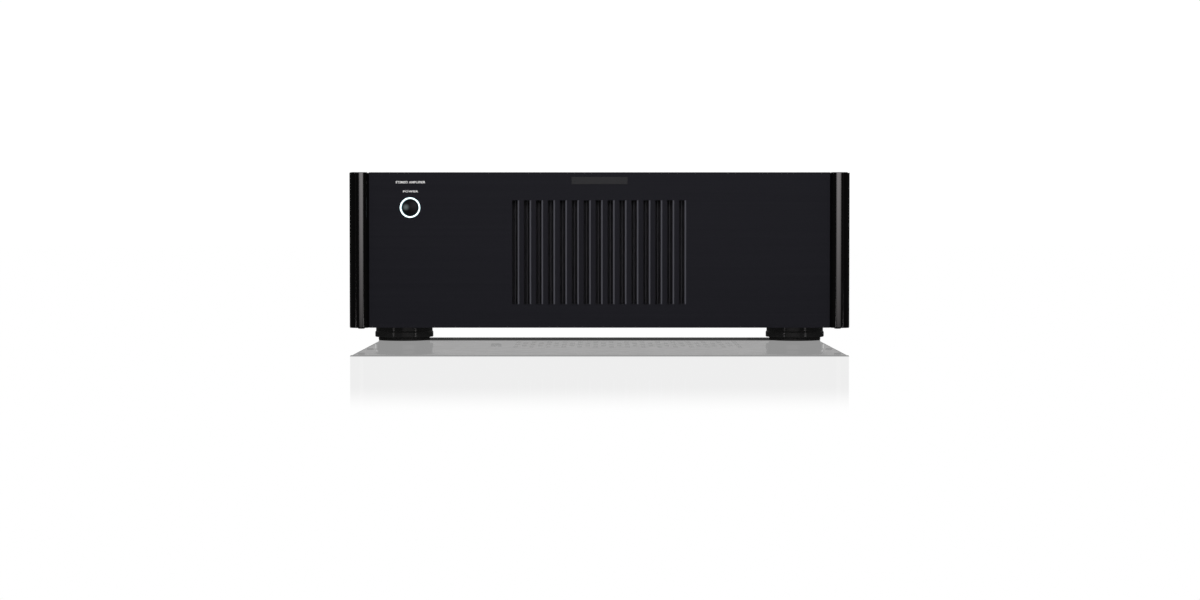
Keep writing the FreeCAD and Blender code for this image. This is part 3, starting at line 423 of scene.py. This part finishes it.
def paint_everything():
    steel = plated("zinc_plated_steel", (0.55, 0.56, 0.57), (0.25, 0.4))
    oxide = plated("black_oxide", (0.035, 0.035, 0.037), (0.3, 0.42))
    gold = plated("gold_plate", (0.83, 0.61, 0.24))
    nickel = plated("nickel_plate", (0.62, 0.60, 0.57))
    black = (0.0065, 0.0065, 0.0065)
    rubber = moulded("pad_rubber", (0.0045, 0.0045, 0.0045), (0.6, 0.8), 1300.0, specular=0.2)
    badge = moulded("badge_anodising", (0.0165, 0.0165, 0.018), (0.3, 0.38), 2400.0, 0.00001, specular=0.04)
    foot = moulded("foot_moulding", (0.0094, 0.0094, 0.0094), (0.10, 0.14), depth=0.000001, specular=0.14)
    paint(["front_fascia"], brushed_fascia())
    paint(["end_column_left", "end_column_right"], column_lacquer())
    paint(["blank_badge"], badge)
    paint(["light_ring"], glowing_ring())
    paint(["power_button"], button_satin())
    paint(["front_subpanel"], moulded("inner_black", (0.0052, 0.0052, 0.0070), (0.6, 0.75), specular=0.2))
    paint(["vent_screen"], screen_paint())
    paint(["top_cover"], powder_coat("cover_powder_coat", (0.0085, 0.0085, 0.009)))
    paint(["rear_panel"], powder_coat("rear_powder_coat", (0.0075, 0.0075, 0.008), 1900.0))
    paint(["base_plate"], floor_sheet())
    paint(["base_rails", "toroid_clamp_plate", "toroid_bolt", "selector_frames"], steel)
    paint(["foot_screws", "button_spring"], steel)
    paint(["cover_screws", "rear_screws", "base_screws"], oxide)
    paint(["feet_front", "feet_rear"], foot)
    paint(["foot_pads", "toroid_pads"], rubber)
    paint(
        ["button_housing", "power_switch", "output_transistors", "bridge_rectifiers"],
        moulded("inner_moulding", black),
    )
    paint(["ac_inlet", "xlr_inserts", "trigger_jacks", "post_bases"], moulded("connector_moulding", black))
    paint(["input_selector", "mode_selector"], moulded("selector_moulding", black, (0.3, 0.4)))
    paint(["rca_jacks", "post_stems"], gold)
    paint(["inlet_pins", "xlr_latch_left", "xlr_latch_right", "board_standoffs"], nickel)
    paint(["xlr_sockets"], plated("black_chrome_shell", (0.30, 0.30, 0.31), (0.22, 0.34)))
    paint(["toroid_windings"], taped_windings())
    paint(["heat_sink_left", "heat_sink_right"], moulded("fin_anodising", (0.012, 0.012, 0.013), (0.4, 0.5)))
    boards = ["front_board", "supply_board", "input_board", "amp_board_left", "amp_board_right"]
    paint(boards, circuit_board())
    paint(["filter_capacitors"], can_sleeve())
    paint(["relays"], moulded("relay_case", (0.02, 0.06, 0.22), (0.2, 0.3)))
    paint(["rca_inserts"], jack_inserts())
    for pole, colour in (("positive", (0.30, 0.006, 0.006)), ("negative", (0.008, 0.008, 0.008))):
        knob = moulded(pole + "_knob", colour, (0.2, 0.3), 500.0)
        for side in SIDES:
            paint(["clamp_washer_%s_%s" % (side, pole)], gold)
            paint(["post_knob_%s_%s" % (side, pole)], knob)


# ---------------------------------------------------------------- printed lettering
def ink(name, colour):
    s = Shader(name, colour, 0.6)
    s.colour(s.noise(2500.0), colour, shaded(colour, 0.85))
    return s


def lettering(name, words, x, z, width, face, shader, height=None, weight=0.0):
    """Flat generic words on the front or the rear panel, centred on x and z.

    Without a height the letters keep their own proportions. The weight thickens their strokes.
    """
    curve = bpy.data.curves.new(name, "FONT")
    curve.body = words
    curve.size = 0.01
    curve.align_x = "CENTER"
    curve.align_y = "CENTER"
    curve.fill_mode = "FRONT"
    curve.resolution_u = 3
    curve.space_character = 1.12
    curve.offset = weight
    curve.materials.append(shader.material)
    piece = bpy.data.objects.new(name, curve)
    bpy.context.scene.collection.objects.link(piece)
    bpy.context.view_layer.update()
    scale_x = width / piece.dimensions.x
    scale_z = scale_x if height is None else height / piece.dimensions.y
    piece.scale = (scale_x, scale_z, 1.0)
    if face == "front":
        piece.rotation_euler = (math.pi / 2, 0, 0)
        piece.location = (x, FRONT_Y - PRINT_HEIGHT, z)
    else:
        piece.rotation_euler = (math.pi / 2, 0, math.pi)
        piece.location = (x, REAR_Y + PRINT_HEIGHT, z)
    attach(piece, "chassis")


def front_lettering():
    white = ink("front_ink", (0.85, 0.84, 0.84))
    x, weight = RING.x + 0.0003, 0.00025
    lettering("label_power", "POWER", x, 0.1294, 0.0130, "front", white, 0.0017, weight)
    lettering("label_stereo", "STEREO AMPLIFIER", x, 0.1373, 0.0254, "front", white, 0.0020, weight)


def rear_lettering():
    grey = ink("rear_ink", (0.55, 0.55, 0.55))
    letter_width, sign_width = 0.0026, 0.0025
    for side, letter in zip(SIDES, "LR"):
        low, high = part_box("xlr_latch_" + side)
        x = (low.x + high.x) / 2
        lettering("label_balanced_" + side, letter, x, 0.0785, letter_width, "rear", grey)
        lettering("label_line_" + side, letter, x, 0.0330, letter_width, "rear", grey)
    for name, words, x, z, width in (
        ("label_balanced", "BALANCED INPUT", 0.151, 0.1205, 0.026),
        ("label_line", "LINE INPUT", 0.151, 0.0640, 0.019),
        ("label_select", "BALANCED   LINE", 0.090, 0.1085, 0.024),
        ("label_mode", "STEREO   MONO", 0.090, 0.0565, 0.022),
        ("label_trigger_in", "TRIGGER IN", 0.062, 0.0885, 0.014),
        ("label_trigger_out", "TRIGGER OUT", 0.062, 0.0365, 0.016),
        ("label_mains", "AC INPUT", -0.166, 0.0655, 0.016),
        ("label_speakers_left", "SPEAKER L", 0.012, 0.0780, 0.018),
        ("label_speakers_right", "SPEAKER R", -0.066, 0.0780, 0.018),
    ):
        lettering(name, words, x, z, width, "rear", grey)
    for side in SIDES:
        for pole, sign in (("positive", "+"), ("negative", "-")):
            low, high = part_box("post_knob_%s_%s" % (side, pole))
            x = (low.x + high.x) / 2
            lettering("label_%s_%s" % (side, pole), sign, x, 0.0485, sign_width, "rear", grey)


# ---------------------------------------------------------------- motion
def compress_spring():
    """Give the power button's spring a mesh of its own."""
    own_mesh(frame["nodes"]["button_spring"])


# ---------------------------------------------------------------- stage, camera and light
def plane(name, corners):
    """A flat stage piece with an empty node material; gives the piece and its graph."""
    mesh = bpy.data.meshes.new(name)
    mesh.from_pydata(corners, [], [(0, 1, 2, 3)])
    material = bpy.data.materials.new(name)
    material.use_nodes = True
    material.node_tree.nodes.clear()
    mesh.materials.append(material)
    piece = bpy.data.objects.new(name, mesh)
    bpy.context.scene.collection.objects.link(piece)
    return piece, Graph(material.node_tree)


def glowing_panel(name, centre, size, facing, strength, fade=0.0):
    """A one-sided soft light that only reflections see.

    Its strength is a number, or two heights and the strength at each. It can fade towards its sides.
    """
    w, h = size[0] / 2, size[1] / 2
    panel, graph = plane(name, [(-w, -h, 0), (w, -h, 0), (w, h, 0), (-w, h, 0)])
    panel.location = centre
    panel.rotation_euler = Vector(facing).to_track_quat("Z", "Y").to_euler()
    panel.visible_camera = False
    panel.visible_shadow = False
    panel.visible_diffuse = False
    if isinstance(strength, tuple):
        height = graph.split(graph.node("NewGeometry").outputs["Position"])[2]
        strength = graph.remap(height, *strength)
    if fade:
        across = graph.split(graph.node("TexCoord").outputs["Object"])[0]
        edge = graph.math("POWER", graph.math("ABSOLUTE", graph.math("DIVIDE", across, w)), 2.0)
        strength = graph.math("MULTIPLY", strength, graph.remap(edge, 0.0, 1.0, 1.0, 1.0 - fade))
    glow = graph.node("Emission")
    glow.inputs["Color"].default_value = PANEL_COLOUR
    graph.feed(glow.inputs["Strength"], strength)
    back = graph.node("NewGeometry").outputs["Backfacing"]
    clear = graph.node("BsdfTransparent").outputs[0]
    graph.show(graph.mix_shaders(back, glow.outputs[0], clear))


def floor():
    """A white floor with a soft shade round the object.

    Its polish mirrors the object only at a glancing angle, and in a strip in front of it.
    """
    corners = [(x * FLOOR_REACH, y * FLOOR_REACH, 0) for x, y in ((-1, -1), (1, -1), (1, 1), (-1, 1))]
    piece, g = plane("floor", corners)
    piece.visible_glossy = False
    piece.visible_shadow = False
    x, y, _ = g.split(g.node("NewGeometry").outputs["Position"])
    beside = g.math("SUBTRACT", g.math("ABSOLUTE", x), HIGH.x)
    before = g.math("SUBTRACT", LOW.y, y)
    behind = g.math("SUBTRACT", y, HIGH.y)

    far = g.remap(before, *FAR_REACH, MIRROR_FAR, 0.0, smooth=True)
    mirror = g.math("MAXIMUM", far, g.remap(before, *NEAR_REACH, MIRROR_NEAR, 0.0))
    mirror = g.math("MULTIPLY", mirror, g.remap(beside, 0.0, SIDE_FADE, 1.0, 0.0, smooth=True))
    seam = g.math("MULTIPLY", g.math("GREATER_THAN", y, SEAM_Y), g.math("LESS_THAN", beside, -SEAM_INSET))
    mirror = g.math("MAXIMUM", mirror, g.math("MULTIPLY", seam, MIRROR_SEAM))
    mirror = g.math("MULTIPLY", mirror, g.math("LESS_THAN", y, UNDER_Y))
    gloss = g.node("BsdfGlossy")
    gloss.inputs["Roughness"].default_value = 0.0
    gloss.inputs["Color"].default_value = (1, 1, 1, 1)
    polish = g.mix_shaders(mirror, g.node("Emission").outputs[0], gloss.outputs[0])

    away_x = g.math("POWER", g.math("MAXIMUM", beside, 0.0), 2.0)
    away_y = g.math("POWER", g.math("MAXIMUM", g.math("MAXIMUM", before, behind), 0.0), 2.0)
    away = g.math("SQRT", g.math("ADD", away_x, away_y))
    plain = g.node("Emission")
    g.feed(plain.inputs["Strength"], g.remap(away, 0.0, SHADE_REACH, 1.0 - SHADE, 1.0, smooth=True))
    glancing = g.remap(g.node("LayerWeight").outputs["Facing"], *GLANCING)
    g.show(g.mix_shaders(glancing, plain.outputs[0], polish))


def world():
    """White to the camera and behind the object, dim elsewhere."""
    made = bpy.data.worlds.new("studio")
    bpy.context.scene.world = made
    made.use_nodes = True
    made.node_tree.nodes.clear()
    g = Graph(made.node_tree)
    direction = g.split(g.node("TexCoord").outputs["Generated"])
    turn = g.remap(direction[1], *BACKDROP_TURN)
    rise = g.remap(direction[2], *BACKDROP_RISE)
    room = g.remap(g.math("MULTIPLY", turn, rise), 0.0, 1.0, SURROUND, 1.0)
    seen = g.node("LightPath").outputs["Is Camera Ray"]
    background = g.node("Background")
    background.inputs["Color"].default_value = (1, 1, 1, 1)
    g.feed(background.inputs["Strength"], g.math("MAXIMUM", room, g.math("MULTIPLY", seen, BACKDROP_SEEN)))
    g.feed(g.node("OutputWorld").inputs["Surface"], background.outputs[0])


def lamp(name, place, target, size, power, reflected=True):
    """A broad lamp that the camera doesn't see, pointed at the target."""
    light = bpy.data.lights.new(name, "AREA")
    light.shape = "RECTANGLE"
    light.size, light.size_y = size
    light.energy = power
    made = bpy.data.objects.new(name, light)
    bpy.context.scene.collection.objects.link(made)
    made.location = place
    made.rotation_euler = (Vector(target) - Vector(place)).to_track_quat("-Z", "Y").to_euler()
    made.visible_camera = False
    made.visible_glossy = reflected


def lights():
    glowing_panel("front_band", BAND_CENTRE, BAND_SIZE, (0, 1, 0), BAND_GRADIENT, BAND_FADE)
    for name, x, y, low_z in STRIPS:
        width = STRIP_WIDTH * math.hypot(x, y)
        for end, z, height, strength in (
            ("", STRIP_Z, STRIP_HEIGHT, STRIP_STRENGTH),
            ("_low", low_z, LOW_STRIP_HEIGHT, LOW_STRIP_STRENGTH),
        ):
            glowing_panel(name + end, (x, FRONT_Y + y, z), (width, height), (-x, -y, 0), strength)
    lamp("front_fill", (0, -3.2, 1.1), (0, 0, 0.07), (2.0, 1.4), FRONT_FILL, reflected=False)
    lamp("overhead", (0, -0.5, 2.6), (0, 0, 0.1), (2.4, 2.0), OVERHEAD)
    lamp("rear_fill", (1.2, 2.6, 1.6), (0, 0.1, 0.07), (2.0, 1.4), REAR_FILL)


def camera():
    made = bpy.data.objects.new("camera", bpy.data.cameras.new("camera"))
    bpy.context.scene.collection.objects.link(made)
    made.location = (0, COLUMN_AXIS_Y - CAMERA_DISTANCE, CAMERA_HEIGHT)
    made.rotation_euler = (math.pi / 2 - CAMERA_PITCH, 0, 0)
    made.data.lens = CAMERA_LENS
    made.data.sensor_width = CAMERA_SENSOR
    made.data.shift_x = CAMERA_SHIFT_X
    bpy.context.scene.camera = made


camera()
paint_everything()
front_lettering()
rear_lettering()
compress_spring()
floor()
world()
lights()
bpy.context.scene.view_settings.view_transform = "Standard"
bpy.context.scene.view_settings.look = "None"
